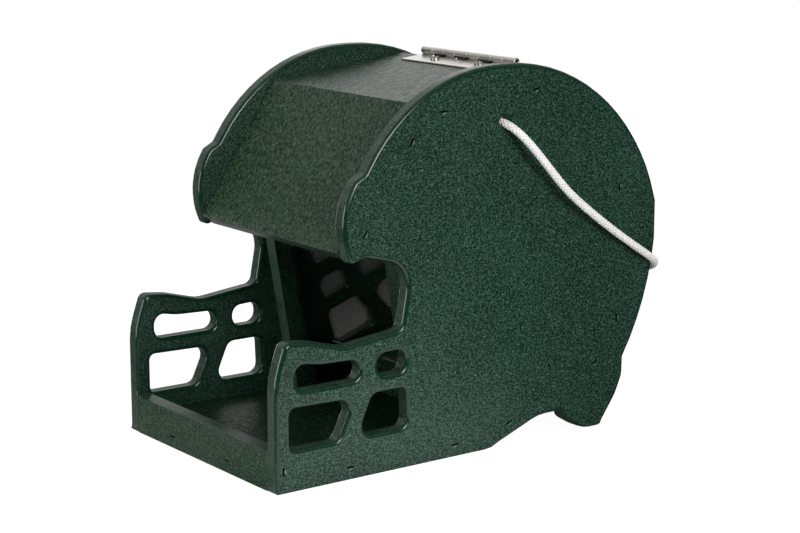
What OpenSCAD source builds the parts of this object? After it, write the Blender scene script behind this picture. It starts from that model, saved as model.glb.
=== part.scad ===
// Helmet-shaped gravity feeder, cut from plastic sheet and stapled together.
// Profile points are [u, z]: u runs back from the face mask, z is height above the ground.

/* [Sheet] */
// Thickness of the sheet that every panel is cut from
sheet_t = 12.7; // [11:0.1:14]
// Clear width between the two side plates
inner_w = 187.3; // [170:0.1:205]

/* [Head outline] */
// Overall length, face mask to the back of the head
shell_l = 366; // [356:1:380]
// Overall height at the crown
shell_h = 296; // [290:1:306]
// Distance of the crown behind the face mask front
crown_u = 213; // [207:1:219]
// Length of the level stretch in front of the crown
crown_l = 11; // [7:0.5:15]
// Where the dome meets the step above the brow, behind the mask front
dome_front_u = 83; // [81:0.5:86]
// Height of that point
dome_front_z = 230.4; // [228:0.1:232]
// How far the dome ends short of the back of the head
dome_back_in = 1.5; // [1:0.5:3]
// Height where the dome ends at the back
dome_back_z = 181.5; // [179:0.5:184]
// Height of the bottom of the upright band at the back
band_low_z = 146; // [140:1:150]
// Height of the top of that band
band_top_z = 177; // [174:0.5:178]
// Radius of the curve from that band down to the nape
nape_r = 222; // [190:1:260]
// How far the nape lies in front of the back of the head
nape_in = 32; // [29:0.5:36]
// Height of the nape
nape_z = 52.4; // [48:0.2:56]

/* [Neck outline] */
// Length of the flat bottom edge behind the mask front
base_u = 198; // [190:1:204]
// Height of the arch in the bottom edge
arch_h = 18; // [14:0.2:20]
// Where the arch levels out
arch_u = 246; // [240:1:252]
// Where the arch drops to the rear lobe
lobe_step_u = 268.6; // [264:0.1:272]
// Front end of the flat under the rear lobe
lobe_front_u = 290; // [286:0.5:296]
// Rear end of that flat
lobe_back_u = 310.5; // [305:0.5:314]

/* [Brow outline] */
// Foremost point of the brow, behind the mask front
brow_u = 60; // [56:0.5:63]
// Height of that point
brow_z = 187; // [184:0.5:190]
// Radius of the brow's front edge
brow_r = 56; // [50:1:62]
// Angle of the brow's front edge below its foremost point
brow_low_deg = 22; // [18:0.5:24]
// Angle of that edge above the point
brow_top_deg = 36; // [33:0.5:37]
// Height of the lower tip of the brow
peak_z = 159.5; // [157:0.5:162]
// Where the ledge above the brow ends
ledge_u = 79.5; // [77.5:0.5:81]
// Height of the end of that ledge
ledge_z = 224.8; // [223:0.2:226]

/* [Face opening] */
// Rise of the small notch behind the brow tip
notch_rise = 4.1; // [2:0.1:6]
// Distance of that notch behind the brow tip
notch_back = 13.5; // [11:0.5:16]
// Rear corner of the face opening
face_u = 120.8; // [117:0.2:124]
// Height of that corner
face_z = 153.1; // [150:0.1:156]
// Radius of that corner
face_r = 26; // [20:0.5:28]

/* [Face mask] */
// Height of the mask at its front corner
mask_h = 110.6; // [106:0.2:116]
// How far the top of the mask leans back
mask_lean = 9.5; // [6:0.5:13]
// Height where the front edge starts to lean
mask_bend_z = 84; // [78:1:90]
// Where the top edge starts to fall
mask_fall_u = 30; // [26:0.5:36]
// Height of that point
mask_fall_z = 108.4; // [107:0.2:109.4]
// Lowest point of the top edge, behind the mask front
mask_dip_u = 61; // [56:0.5:66]
// Height of that point
mask_dip_z = 100.2; // [98:0.2:102]
// Rear end of the top edge
cheek_u = 112; // [109:0.5:115]
// Height of that end
cheek_z = 106; // [103:0.2:108]
// Height of the sill under the two lower windows in the mask
mask_sill_z = 30.4; // [28:0.2:33]
// Height of the head of the two lower windows
mask_head_z = 61.3; // [58:0.1:64]
// Height of the sill under the two upper windows
mask_bar_z = 73.5; // [71:0.1:76]
// Height of the head of the two upper windows
mask_top_z = 90; // [87:0.1:92]
// Front ends of the mask windows
mask_front_u = 12.6; // [11:0.1:16]
// Rear ends of the mask windows
mask_back_u = 116; // [113:0.2:118]

/* [Tray] */
// Height of the lip across the front of the tray
lip_h = 29.8; // [24:0.2:36]
// Height of the underside of the tray floor
floor_low_z = 3; // [1:0.5:5]
// Rear end of the tray floor
floor_end_u = 193; // [186:1:200]
// Height at which the ramp meets the back panel
ramp_top_z = 65.8; // [60:0.2:72]

/* [Hopper] */
// Distance of the forehead panel's lower edge behind the brow
forehead_in = 2; // [1:0.2:4]
// Height of that edge above the lower tip of the brow
forehead_rise = 7.9; // [6:0.1:10]
// Slope of the forehead panel
forehead_deg = 56.6; // [54:0.1:58]
// Slope of the roof
roof_deg = 6.7; // [4:0.1:7]
// Slope of the lid
lid_deg = 37.4; // [36:0.2:40]
// How far the lid reaches past the back panel
lid_overhang = 15; // [8:0.5:17]
// Room between the lid and each side plate
lid_side_gap = 1; // [0.6:0.1:2]
// Gap between the roof's rear edge and the lid
lid_seam = 1.5; // [1:0.1:2.5]
// How far the back panel lies in front of the back of the head
back_in = 34.4; // [30:0.2:40]
// Height of the lower edge of the back panel
back_low_z = 49; // [46:0.5:51]

/* [Seed window] */
// Front of the window battens at the tray floor
batten_u = 143.4; // [138:0.2:150]
// Lean of the battens and the window from upright
batten_deg = 9.73; // [8:0.01:11]
// Depth of the battens
batten_d = 20; // [19:0.1:24]
// Width of the batten on the left plate
left_batten_w = 21; // [12:0.1:26]
// Width of the batten on the right plate
right_batten_w = 12.7; // [12:0.1:26]
// How far the window stands behind the front of the battens
window_in = 15; // [12:0.1:15.5]
// Thickness of the window
window_t = 3; // [2:0.1:3.2]
// Height of the window's lower edge above the tray floor
throat_h = 46.8; // [30:0.2:60]
// Depth of the saw kerfs that hold the window
kerf_d = 5; // [3:0.1:7]

/* [Hinge] */
// Distance of the hinge pin behind the mask front
hinge_u = 260; // [255:0.1:264]
// Depth of the hinge pin under the crown
hinge_drop = 5.4; // [4.8:0.1:8]
// Height of the hinge pin above the roof and the lid
pin_h = 4.4; // [4.2:0.1:6]
// How far the hinge sits off centre, to the left
hinge_x = -3.5; // [-10:0.5:10]
// Length of the hinge
hinge_l = 121; // [110:1:140]
// Width of a leaf from the pin
leaf_w = 23.5; // [19:0.1:27]
// Thickness of a leaf
leaf_t = 1.2; // [0.8:0.1:1.4]
// Diameter of the barrel
barrel_d = 5.6; // [4.6:0.1:6]
// Diameter of the hinge pin
pin_d = 2.6; // [2:0.1:2.8]
// How far the pin ends inside the barrel
pin_in = 2; // [0.5:0.1:4]
// Number of knuckles
knuckles = 8; // [4:1:14]
// Distance of the screws from the pin
screw_out = 13; // [9:0.1:15]
// Distance between the two screws of a leaf
screw_pitch = 57; // [40:1:80]
// Diameter of a screw head
head_d = 7.3; // [6:0.1:8]
// Height of a screw head
head_h = 2.2; // [1.6:0.1:2.6]
// Diameter of a screw shank
shank_d = 3.5; // [3:0.1:4]
// Length of a screw shank below its head
shank_l = 11; // [8:0.1:12]

/* [Staples] */
// Width of a staple crown
crown_w = 6; // [5:0.1:8]
// Width of the staple wire across the panel
wire_w = 1.2; // [0.9:0.1:1.5]
// Thickness of the staple wire
wire_t = 1; // [0.8:0.1:1.3]
// How deep the crown is driven below the surface
staple_sink = 0.8; // [0.4:0.1:1.5]
// How far the legs reach into the panel behind the plate
staple_bite = 15; // [8:0.5:20]

/* [Rope] */
// Diameter of the hanging rope
rope_d = 6.3; // [5:0.1:7]
// Diameter of the rope holes
rope_hole_d = 7.5; // [7.2:0.1:9]
// Rope holes, behind the mask front
rope_u = 207.8; // [204:0.2:211]
// Height of the rope holes
rope_z = 252.6; // [250:0.2:256]
// Diameter of the knots behind the plates
knot_d = 16; // [13:0.5:18]
// Length of the knots
knot_l = 14; // [11:0.5:17]

/* [Fits] */
// Gap at butted panels
seam = 0.1; // [0.05:0.01:0.2]
// Gap between the lid and what it rests on
rest_gap = 0.3; // [0.2:0.05:0.5]
// Play of the pin in the knuckles, on the radius
pin_play = 0.05; // [0.02:0.01:0.1]
// Gap between neighbouring knuckles
knuckle_gap = 0.3; // [0.2:0.05:0.5]
// Room round the window in its kerfs
window_play = 0.2; // [0.1:0.05:0.3]
// Room round a staple or a screw in its hole
hole_play = 0.1; // [0.05:0.01:0.2]

/* [Hidden] */
$fn = 48;

// Colours
sheet_green = "#1f3b2c";
steel = "#b9bcc0";
wire_grey = "#3a3c3e";
clear_sheet = [0.75, 0.8, 0.82, 0.35];
rope_white = "#f1efe8";

// Angle of one chord on a rounded corner, and on the long curves
corner_step = 12;
curve_step = 5;
// Extra length that takes a cut clear of a surface
past = 1;

// Directions and lines in the profile plane
function unit(v) = v / norm(v);
function along(deg) = [cos(deg), sin(deg)];
function cross2(a, b) = a.x * b.y - a.y * b.x;
function meet(p, d, q, e) = p + d * cross2(q - p, e) / cross2(d, e);
function at_u(p, d, u) = p + d * (u - p.x) / d.x;

// Points on an arc about c from angle a to angle b
function arc(c, r, a, b, n) = [for (i = [0:n]) c + r * along(a + (b - a) * i / n)];
function steps(sweep, step) = max(2, ceil(abs(sweep) / step));

// The corner b between a and c, rounded to radius r as far as its sides allow
function corner(a, b, c, r) =
    let (
        in = unit(a - b),
        out = unit(c - b),
        half = acos(in * out) / 2,
        run = min(r / tan(half), norm(a - b) * 0.49, norm(c - b) * 0.49),
        fit_r = run * tan(half),
        mid = b + unit(in + out) * fit_r / sin(half),
        from = b + in * run - mid,
        sweep = (180 - 2 * half) * sign(cross2(from, b + out * run - mid)),
        start = atan2(from.y, from.x)
    )
    arc(mid, fit_r, start, start + sweep, steps(sweep, corner_step));

// A path of [u, z] points and [u, z, radius] corners as plain points
function point(p) = [p.x, p.y];
function rounded(path) = [
    for (i = [0:len(path) - 1])
        let (
            before = point(path[(i + len(path) - 1) % len(path)]),
            here = path[i],
            after = point(path[(i + 1) % len(path)])
        )
        each len(here) == 2 ? [here] : corner(before, point(here), after, here[2])
];

// Half of the dome: an arc that is level at u, at the full height, and ends at p
function dome_half(p, u) =
    let (
        drop = shell_h - p.y,
        r = ((p.x - u) ^ 2 + drop ^ 2) / (2 * drop),
        mid = [u, shell_h - r],
        start = atan2(p.y - mid.y, p.x - mid.x)
    )
    arc(mid, r, start, 90, steps(90 - start, curve_step));

// A curve of radius r from a to b that bulges to the left of its run
function bulge(a, b, r) =
    let (
        run = b - a,
        rise = sqrt(r ^ 2 - (run * run) / 4),
        mid = (a + b) / 2 + rise * unit([run.y, -run.x]),
        from = atan2(a.y - mid.y, a.x - mid.x),
        sweep = -2 * asin(norm(run) / 2 / r)
    )
    arc(mid, r, from, from + sweep, steps(sweep, curve_step));

function backwards(list) = [for (i = [len(list) - 1:-1:0]) list[i]];

// Brow
brow_mid = [brow_u + brow_r, brow_z];
brow_edge = arc(brow_mid, brow_r, 180 + brow_low_deg, 180 - brow_top_deg,
                steps(brow_low_deg + brow_top_deg, curve_step));
brow_low = brow_edge[0];
peak = [brow_low.x + (brow_low.y - peak_z) * tan(brow_low_deg), peak_z];
peak_r = 9;
notch_r = 15;
ledge_r = 5;

// Dome and back
dome_front = [dome_front_u, dome_front_z];
dome_back = [shell_l - dome_back_in, dome_back_z];
band_top = [shell_l, band_top_z];
band_low = [shell_l, band_low_z];
nape = [shell_l - nape_in, nape_z];
nape_edge = bulge(band_low, nape, nape_r);

// Rear lobe, a rounded corner under the nape that meets the arch in a small notch
lobe_drop = 14.9;
lobe_in = 0.4;
lobe_r = 14;
lobe_side = [7, 29.9];
lobe_side_r = 40;
lobe_toe_r = 8;
lobe_heel_r = 30;
lobe_cheek = [2.6, 6.8];
lobe_cheek_r = 8;
lobe_notch_r = 1.2;
arch_r = 40;

// Corner radii of the face mask
foot_r = 1.5;
mask_bend_r = 60;
mask_corner_r = 6;
mask_fall_r = 40;
mask_dip_r = 25;
cheek_r = 7;

side_outline = rounded(concat(
    [[0, 0, foot_r],
     [0, mask_bend_z, mask_bend_r],
     [mask_lean, mask_h, mask_corner_r],
     [mask_fall_u, mask_fall_z, mask_fall_r],
     [mask_dip_u, mask_dip_z, mask_dip_r],
     [cheek_u, cheek_z, cheek_r],
     [face_u, face_z, face_r],
     [peak.x + notch_back, peak.y + notch_rise, notch_r],
     [peak.x, peak.y, peak_r]],
    brow_edge,
    [[ledge_u, ledge_z, ledge_r]],
    dome_half(dome_front, crown_u - crown_l),
    backwards(dome_half(dome_back, crown_u)),
    [band_top],
    nape_edge,
    [[nape.x - lobe_in, nape.y - lobe_drop, lobe_r],
     [nape.x - lobe_side.x, nape.y - lobe_side.y, lobe_side_r],
     [lobe_back_u, 0, lobe_toe_r],
     [lobe_front_u, 0, lobe_heel_r],
     [lobe_step_u + lobe_cheek.x, arch_h - lobe_cheek.y, lobe_cheek_r],
     [lobe_step_u, arch_h, lobe_notch_r],
     [arch_u, arch_h, arch_r],
     [base_u, 0, arch_r]]
));

// Windows in the face mask. A slanted bar parts the lower two.
slot_end_u = 74;
slot_dip_u = 38;
slot_rise = 4;
slot_in = 5;
eye_front_u = 90;
mask_skew = 1.2;
bar_foot_u = 54.8;
bar_head_u = 68.5;
bar_w = 17.4;
mask_r = 8;
mask_small_r = 5;
mask_windows = [
    [[mask_front_u + slot_in, mask_top_z + slot_rise, mask_r],
     [slot_dip_u, mask_top_z, mask_bend_r],
     [slot_end_u, mask_top_z - mask_skew, mask_r],
     [slot_end_u, mask_bar_z, mask_r],
     [mask_front_u + slot_in, mask_bar_z, mask_r]],
    [[eye_front_u, mask_top_z, mask_r],
     [mask_back_u, mask_top_z + mask_skew, mask_r],
     [mask_back_u - mask_skew, mask_bar_z, mask_r],
     [eye_front_u, mask_bar_z, mask_r]],
    [[mask_front_u, mask_head_z, mask_small_r],
     [bar_head_u, mask_head_z - mask_skew, mask_r],
     [bar_foot_u, mask_sill_z, mask_r],
     [mask_front_u, mask_sill_z, mask_small_r]],
    [[bar_head_u + bar_w, mask_head_z, mask_r],
     [mask_back_u, mask_head_z, mask_small_r],
     [mask_back_u + mask_skew, mask_sill_z, mask_r],
     [bar_foot_u + bar_w, mask_sill_z, mask_r]]
];

// Hinge pin and the two surfaces that its leaves lie on
barrel_r = barrel_d / 2;
pin = [hinge_u, shell_h - hinge_drop];
roof_dir = along(roof_deg);
roof_up = [-roof_dir.y, roof_dir.x];
lid_dir = along(-lid_deg);
lid_up = [-lid_dir.y, lid_dir.x];
roof_top = pin - roof_up * pin_h;
lid_top = pin - lid_up * pin_h;

// Forehead and roof, mitred at the ridge
forehead_dir = along(forehead_deg);
forehead_out = [-forehead_dir.y, forehead_dir.x];
forehead_low = [brow_u + forehead_in, peak_z + forehead_rise];
forehead_back = forehead_low - forehead_out * sheet_t;
ridge = meet(forehead_low, forehead_dir, roof_top, roof_dir);
ridge_under = meet(forehead_back, forehead_dir, roof_top - roof_up * sheet_t, roof_dir);
roof_end_u = hinge_u - lid_seam / 2;
roof_profile = [
    ridge + roof_dir * seam,
    at_u(roof_top, roof_dir, roof_end_u),
    at_u(roof_top - roof_up * sheet_t, roof_dir, roof_end_u),
    ridge_under + roof_dir * seam
];

// Back panel, bevelled under the lid
back_u = shell_l - back_in - sheet_t;
lid_under = lid_top - lid_up * sheet_t;
lid_seat = lid_under - lid_up * rest_gap;
back_profile = [
    [back_u, back_low_z],
    at_u(lid_seat, lid_dir, back_u),
    at_u(lid_seat, lid_dir, back_u + sheet_t),
    [back_u + sheet_t, back_low_z]
];

// Lid, cut plumb at the hinge and square at its rear end
lid_start_u = hinge_u + lid_seam / 2;
lid_tail = at_u(lid_top, lid_dir, back_u + sheet_t + lid_overhang);
lid_profile = [
    at_u(lid_top, lid_dir, lid_start_u),
    lid_tail,
    lid_tail - lid_up * sheet_t,
    at_u(lid_under, lid_dir, lid_start_u)
];

// Tray floor and ramp
floor_z = floor_low_z + sheet_t;
floor_front_u = sheet_t + seam;
ramp_foot = [floor_end_u + seam, floor_z];
ramp_head = [back_u - seam, ramp_top_z];
ramp_dir = unit(ramp_head - ramp_foot);
ramp_up = [-ramp_dir.y, ramp_dir.x];
ramp_profile = [
    ramp_foot,
    ramp_head,
    at_u(ramp_foot - ramp_up * sheet_t, ramp_dir, ramp_head.x),
    at_u(ramp_foot - ramp_up * sheet_t, ramp_dir, ramp_foot.x)
];

// Battens and window, leaning together against the forehead panel or under the roof
lean_dir = along(90 + batten_deg);
lean_back = [lean_dir.y, -lean_dir.x];
batten_foot = [batten_u, floor_z + seam];
behind_forehead = forehead_back - forehead_out * seam;
under_roof = roof_top - roof_up * (sheet_t + seam);
function leaning(back) =
    let (
        foot = batten_foot + lean_back * back,
        at_forehead = meet(foot, lean_dir, behind_forehead, forehead_dir),
        at_roof = meet(foot, lean_dir, under_roof, roof_dir)
    )
    at_forehead.y < at_roof.y ? at_forehead : at_roof;
function level(back) = meet(batten_foot + lean_back * back, lean_dir, batten_foot, [1, 0]);
batten_profile = [batten_foot, leaning(0), leaning(batten_d), level(batten_d)];
window_front = window_in;
window_back = window_in + window_t;
window_foot = meet(batten_foot + lean_back * window_front, lean_dir, [0, floor_z + throat_h], [1, 0]);
function window_shape(play) = [
    window_foot - lean_back * play - lean_dir * play,
    leaning(window_front - play),
    leaning(window_back + play),
    window_foot + lean_back * (window_t + play) - lean_dir * play
];

// Staple places on a side plate: [u, z, angle of the crown], set in from the ends of each panel
forehead_insets = [21, 27];
roof_insets = [19, 22.2];
roof_staple_in = 8.2;
back_insets = [37, 22];
ramp_insets = [21, 20.5];
floor_insets = [52, 31];
lip_staple_z = 16;
function mid_panel(p, up) = p - up * sheet_t / 2;
function station(p, d, run) = concat(p + d * run, [atan2(d.y, d.x)]);
function pair(p, d, run, insets) = [station(p, d, insets[0]), station(p, d, run - insets[1])];
forehead_staples = pair(mid_panel(forehead_low, forehead_out), forehead_dir,
                        norm(ridge - forehead_low), forehead_insets);
roof_staples = pair(ridge - roof_up * roof_staple_in, roof_dir, norm(roof_profile[1] - ridge),
                    roof_insets);
back_staples = pair([back_u + sheet_t / 2, back_low_z], [0, 1], back_profile[2].y - back_low_z,
                    back_insets);
ramp_staples = pair(mid_panel(ramp_foot, ramp_up), ramp_dir, norm(ramp_head - ramp_foot), ramp_insets);
floor_staples = pair([floor_front_u, floor_low_z + sheet_t / 2], [1, 0],
                     floor_end_u - floor_front_u, floor_insets);
tray_staples = [station([sheet_t / 2, 0], [0, 1], lip_staple_z)];
all_staples = concat(forehead_staples, roof_staples, back_staples, ramp_staples, floor_staples,
                     tray_staples);
// Heights of the staples that hold a batten, and places of those in the lip
batten_staple_z = [95, 175];
lip_staple_x = [-40, 39];

// Half widths
plate_in = inner_w / 2;
plate_out = plate_in + sheet_t;
panel_w = inner_w - 2 * seam;

// Rope route from the left hole round the back: [out from the plate, u, z]. It turns down at the
// hole, hangs along the plate, bends round its rear edge and sags to the middle.
rope_turn = [[rest_gap - sheet_t, -0.3, 0.4], [-sheet_t / 2, 0, 0], [-0.35, 0.3, -0.4],
             [4.3, 0.9, -1.4], [8.3, 2.4, -3.6], [11.1, 4.6, -6.8], [12.5, 7.5, -10.2],
             [13.2, 12, -14.4]];
rope_side = [[13.6, 227.4, 230.4], [13.6, 238.6, 218.4], [13.2, 250.4, 206.2], [12.6, 261.8, 195.2],
             [10.8, 285, 178], [8.6, 312, 159.8], [6.8, 338, 143.5]];
rope_back = [[6.2, -13, 134.3], [5, -4.7, 129.4], [2.4, -0.3, 126.8], [-2.4, 2.8, 124],
             [-16.4, 7, 118.8], [-58.4, 13.6, 106.4]];
rope_half = concat(
    [for (p = rope_turn) [plate_out + p.x, rope_u + p.y, rope_z + p.z]],
    [for (p = rope_side) [plate_out + p.x, p.y, p.z]],
    [for (p = rope_back) [plate_out + p.x, shell_l + p.y, p.z]]
);
rope_middle = [[0, shell_l + 15.4, 102]];
rope_route = concat(rope_half, rope_middle, [for (p = backwards(rope_half)) [-p.x, p.y, p.z]]);
rope_sides = 10;
rope_parts = 2;

// A smooth curve through the route
function spline(a, b, c, d, t) =
    b + (c - a) * t / 2
    + (a - b * 2.5 + c * 2 - d / 2) * t ^ 2
    + (b * 1.5 - a / 2 - c * 1.5 + d / 2) * t ^ 3;
function near(list, i) = list[max(0, min(len(list) - 1, i))];
function smooth(list, parts) = concat(
    [for (i = [0:len(list) - 2]) for (k = [0:parts - 1])
        spline(near(list, i - 1), list[i], list[i + 1], near(list, i + 2), k / parts)],
    [list[len(list) - 1]]
);

// Rings of a tube about each point of a path, square to it
function ring(p, d, r, sides) =
    let (
        side = unit(cross([0, 0, 1], d)),
        up = cross(d, side)
    )
    [for (k = [0:sides - 1]) p + r * (side * cos(k * 360 / sides) + up * sin(k * 360 / sides))];

module tube(path, d, sides) {
    last = len(path) - 1;
    rings = [for (i = [0:last])
        each ring(path[i], unit(near(path, i + 1) - near(path, i - 1)), d / 2, sides)];
    walls = [for (i = [0:last - 1]) for (k = [0:sides - 1])
        let (a = i * sides + k, b = i * sides + (k + 1) % sides)
        each [[a, a + sides, b + sides], [a, b + sides, b]]];
    front = [for (k = [1:sides - 2]) [0, k, k + 1]];
    back = [for (k = [1:sides - 2]) [last * sides, last * sides + k + 1, last * sides + k]];
    polyhedron(rings, concat(walls, front, back));
}

// A profile drawn across the width, centred
module across(w) {
    translate([-w / 2, -shell_l / 2, 0])
        rotate([90, 0, 90])
            linear_extrude(w)
                children();
}

// Something drawn about the X axis, moved to a profile point
module at_profile(p) {
    translate([0, p.x - shell_l / 2, p.y])
        children();
}

// A staple driven along -X from the surface at x = 0, crown along Y
module staple(leg) {
    translate([-staple_sink - wire_t, -crown_w / 2, -wire_w / 2])
        cube([wire_t, crown_w, wire_w]);
    for (y = [-crown_w / 2, crown_w / 2 - wire_t])
        translate([-staple_sink - leg, y, -wire_w / 2])
            cube([leg, wire_t, wire_w]);
}

module staple_hole(leg) {
    slot_w = wire_w + 2 * hole_play;
    translate([-staple_sink - wire_t - hole_play, -crown_w / 2 - hole_play, -slot_w / 2])
        cube([staple_sink + wire_t + hole_play + past, crown_w + 2 * hole_play, slot_w]);
    for (y = [-crown_w / 2, crown_w / 2 - wire_t])
        translate([-staple_sink - leg - hole_play, y - hole_play, -slot_w / 2])
            cube([leg, wire_t + 2 * hole_play, slot_w]);
}

plate_leg = sheet_t - staple_sink + staple_bite;

// Something at each staple place on the left plate's outer face
module at_stations(stations) {
    for (s = stations)
        translate([plate_out, 0, 0])
            at_profile(s)
                rotate([s[2], 0, 0])
                    children();
}

// A panel between the plates, with the holes for its staples
module panel(profile, stations) {
    color(sheet_green)
        difference() {
            across(panel_w) polygon(profile);
            for (side = [0, 1])
                mirror([side, 0, 0])
                    at_stations(stations) staple_hole(plate_leg);
        }
}

// Staples across a batten: its inner side stands w from the plate
batten_bite = 8;
module at_batten(w) {
    for (z = batten_staple_z)
        translate([plate_in - w, 0, 0])
            at_profile(meet(batten_foot + lean_back * window_in / 2, lean_dir, [0, z], [1, 0]))
                rotate([90 + batten_deg, 0, 0])
                    mirror([1, 0, 0])
                        children();
}

function batten_leg(w) = w - staple_sink + batten_bite;

// The left side plate; the right one is its mirror image but for its batten
module side_plate(batten_w) {
    color(sheet_green)
        difference() {
            translate([(plate_in + plate_out) / 2, 0, 0])
                across(sheet_t)
                    difference() {
                        polygon(side_outline);
                        for (w = mask_windows)
                            polygon(rounded(w));
                    }
            at_profile([rope_u, rope_z])
                rotate([0, 90, 0])
                    translate([0, 0, plate_in - past])
                        cylinder(d = rope_hole_d, h = sheet_t + 2 * past);
            at_stations(all_staples) staple_hole(plate_leg);
            at_batten(batten_w) staple_hole(batten_leg(batten_w));
        }
}

module left_side_plate() {
    side_plate(left_batten_w);
}

module right_side_plate() {
    mirror([1, 0, 0])
        side_plate(right_batten_w);
}

// Something at each staple place on the front of the lip
module at_lip() {
    for (x = lip_staple_x)
        at_profile([0, floor_low_z + sheet_t / 2])
            translate([x, 0, 0])
                rotate([0, 0, -90])
                    children();
}

module tray_lip() {
    color(sheet_green)
        difference() {
            panel([[0, 0], [0, lip_h], [sheet_t, lip_h], [sheet_t, 0]], tray_staples);
            at_lip() staple_hole(plate_leg);
        }
}

module tray_floor() {
    color(sheet_green)
        difference() {
            panel([[floor_front_u, floor_low_z], [floor_front_u, floor_z],
                   [floor_end_u, floor_z], [floor_end_u, floor_low_z]], floor_staples);
            at_lip() staple_hole(plate_leg);
        }
}

module feed_ramp() {
    panel(ramp_profile, ramp_staples);
}

module back_panel() {
    panel(back_profile, back_staples);
}

module forehead_panel() {
    panel([forehead_low, ridge, ridge_under, forehead_back], forehead_staples);
}

// Something square to a hinge surface at each screw, on the roof side or on the lid side
module at_screws(top, dir, out) {
    deg = atan2(dir.y, dir.x);
    for (x = [-screw_pitch / 2, screw_pitch / 2])
        at_profile(top + dir * out)
            translate([hinge_x + x, 0, 0])
                rotate([deg, 0, 0])
                    children();
}

module at_roof_screws() {
    at_screws(roof_top, roof_dir, -screw_out) children();
}

module at_lid_screws() {
    at_screws(lid_top, lid_dir, screw_out) children();
}

module screw_hole() {
    translate([0, 0, leaf_t - shank_l - hole_play])
        cylinder(d = shank_d + 2 * hole_play, h = shank_l + hole_play + past);
}

module roof_panel() {
    color(sheet_green)
        difference() {
            panel(roof_profile, roof_staples);
            at_roof_screws() screw_hole();
        }
}

module lid_panel() {
    color(sheet_green)
        difference() {
            across(inner_w - 2 * lid_side_gap) polygon(lid_profile);
            at_lid_screws() screw_hole();
        }
}

// The window stands in both kerfs
window_right = -plate_in + right_batten_w - kerf_d;
window_left = plate_in - left_batten_w + kerf_d;

module seed_window() {
    color(clear_sheet)
        translate([(window_left + window_right) / 2, 0, 0])
            across(window_left - window_right) polygon(window_shape(0));
}

// A batten on the left plate, w wide, with its kerf and staple holes
module batten(w) {
    color(sheet_green)
        difference() {
            translate([plate_in - seam - (w - seam) / 2, 0, 0])
                across(w - seam) polygon(batten_profile);
            translate([plate_in - w + (kerf_d + window_play - past) / 2, 0, 0])
                across(kerf_d + window_play + past) polygon(window_shape(window_play));
            at_batten(w) staple_hole(batten_leg(w));
        }
}

module left_window_batten() {
    batten(left_batten_w);
}

module right_window_batten() {
    mirror([1, 0, 0])
        batten(right_batten_w);
}

// A cylinder along X, centred on x
module rod(d, x, l) {
    translate([x - l / 2, 0, 0])
        rotate([0, 90, 0])
            cylinder(d = d, h = l);
}

knuckle_pitch = hinge_l / knuckles;
knuckle_l = knuckle_pitch - knuckle_gap;
// The flat of a leaf starts over the lid's front edge
leaf_in = (lid_seam / 2 + pin_h * sin(lid_deg)) / cos(lid_deg);
// The thin web from under a knuckle down to the flat of its leaf
web_profile = [
    [0, -barrel_r],
    [leaf_in, -pin_h],
    [leaf_in + past, -pin_h],
    [leaf_in + past, leaf_t - pin_h],
    [leaf_in, leaf_t - pin_h],
    [leaf_in, leaf_t / 2 - pin_h],
    [0, leaf_t / 2 - barrel_r]
];

// A hinge leaf about the pin, lying toward +Y, with every second knuckle from the first
module hinge_leaf(first) {
    places = [for (i = [first:2:knuckles - 1]) (i + 0.5) * knuckle_pitch - hinge_l / 2];
    difference() {
        union() {
            translate([-hinge_l / 2, leaf_in, -pin_h])
                cube([hinge_l, leaf_w - leaf_in, leaf_t]);
            for (x = places) {
                rod(barrel_d, x, knuckle_l);
                translate([x - knuckle_l / 2, 0, 0])
                    rotate([90, 0, 90])
                        linear_extrude(knuckle_l)
                            polygon(web_profile);
            }
        }
        rod(pin_d + 2 * pin_play, 0, hinge_l + 2 * past);
        for (x = [-screw_pitch / 2, screw_pitch / 2])
            translate([x, screw_out, -pin_h - past])
                cylinder(d = shank_d + 2 * hole_play, h = leaf_t + 2 * past);
    }
}

// Something drawn about the middle of the pin
module at_hinge() {
    translate([hinge_x, 0, 0])
        at_profile(pin)
            children();
}

module roof_hinge_leaf() {
    color(steel)
        at_hinge()
            rotate([roof_deg, 0, 0])
                mirror([0, 1, 0])
                    hinge_leaf(0);
}

module lid_hinge_leaf() {
    color(steel)
        at_hinge()
            rotate([-lid_deg, 0, 0])
                hinge_leaf(1);
}

module hinge_pin() {
    color(steel)
        at_hinge()
            rod(pin_d, 0, hinge_l - 2 * pin_in);
}

// A pan head screw standing on a leaf, with a cross recess
recess_l = 4.4;
recess_w = 1.1;
recess_d = 1.2;
head_r = 1.5;
module screw() {
    difference() {
        translate([0, 0, leaf_t])
            union() {
                rotate_extrude()
                    polygon(rounded([[0, 0], [head_d / 2, 0],
                                     [head_d / 2, head_h, head_r], [0, head_h]]));
                translate([0, 0, -shank_l])
                    cylinder(d = shank_d, h = shank_l + head_h / 2);
            }
        for (turn = [0, 90])
            rotate([0, 0, turn])
                translate([-recess_l / 2, -recess_w / 2, leaf_t + head_h - recess_d])
                    cube([recess_l, recess_w, recess_d + past]);
    }
}

module roof_hinge_screws() {
    color(steel)
        at_roof_screws() screw();
}

module lid_hinge_screws() {
    color(steel)
        at_lid_screws() screw();
}

module left_plate_staples() {
    color(wire_grey)
        at_stations(all_staples) staple(plate_leg);
}

module right_plate_staples() {
    mirror([1, 0, 0])
        left_plate_staples();
}

module lip_staples() {
    color(wire_grey)
        at_lip() staple(plate_leg);
}

module left_batten_staples() {
    color(wire_grey)
        at_batten(left_batten_w) staple(batten_leg(left_batten_w));
}

module right_batten_staples() {
    color(wire_grey)
        mirror([1, 0, 0])
            at_batten(right_batten_w) staple(batten_leg(right_batten_w));
}

module hanging_rope() {
    color(rope_white)
        translate([0, -shell_l / 2, 0])
            tube(smooth(rope_route, rope_parts), rope_d, rope_sides);
}

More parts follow.
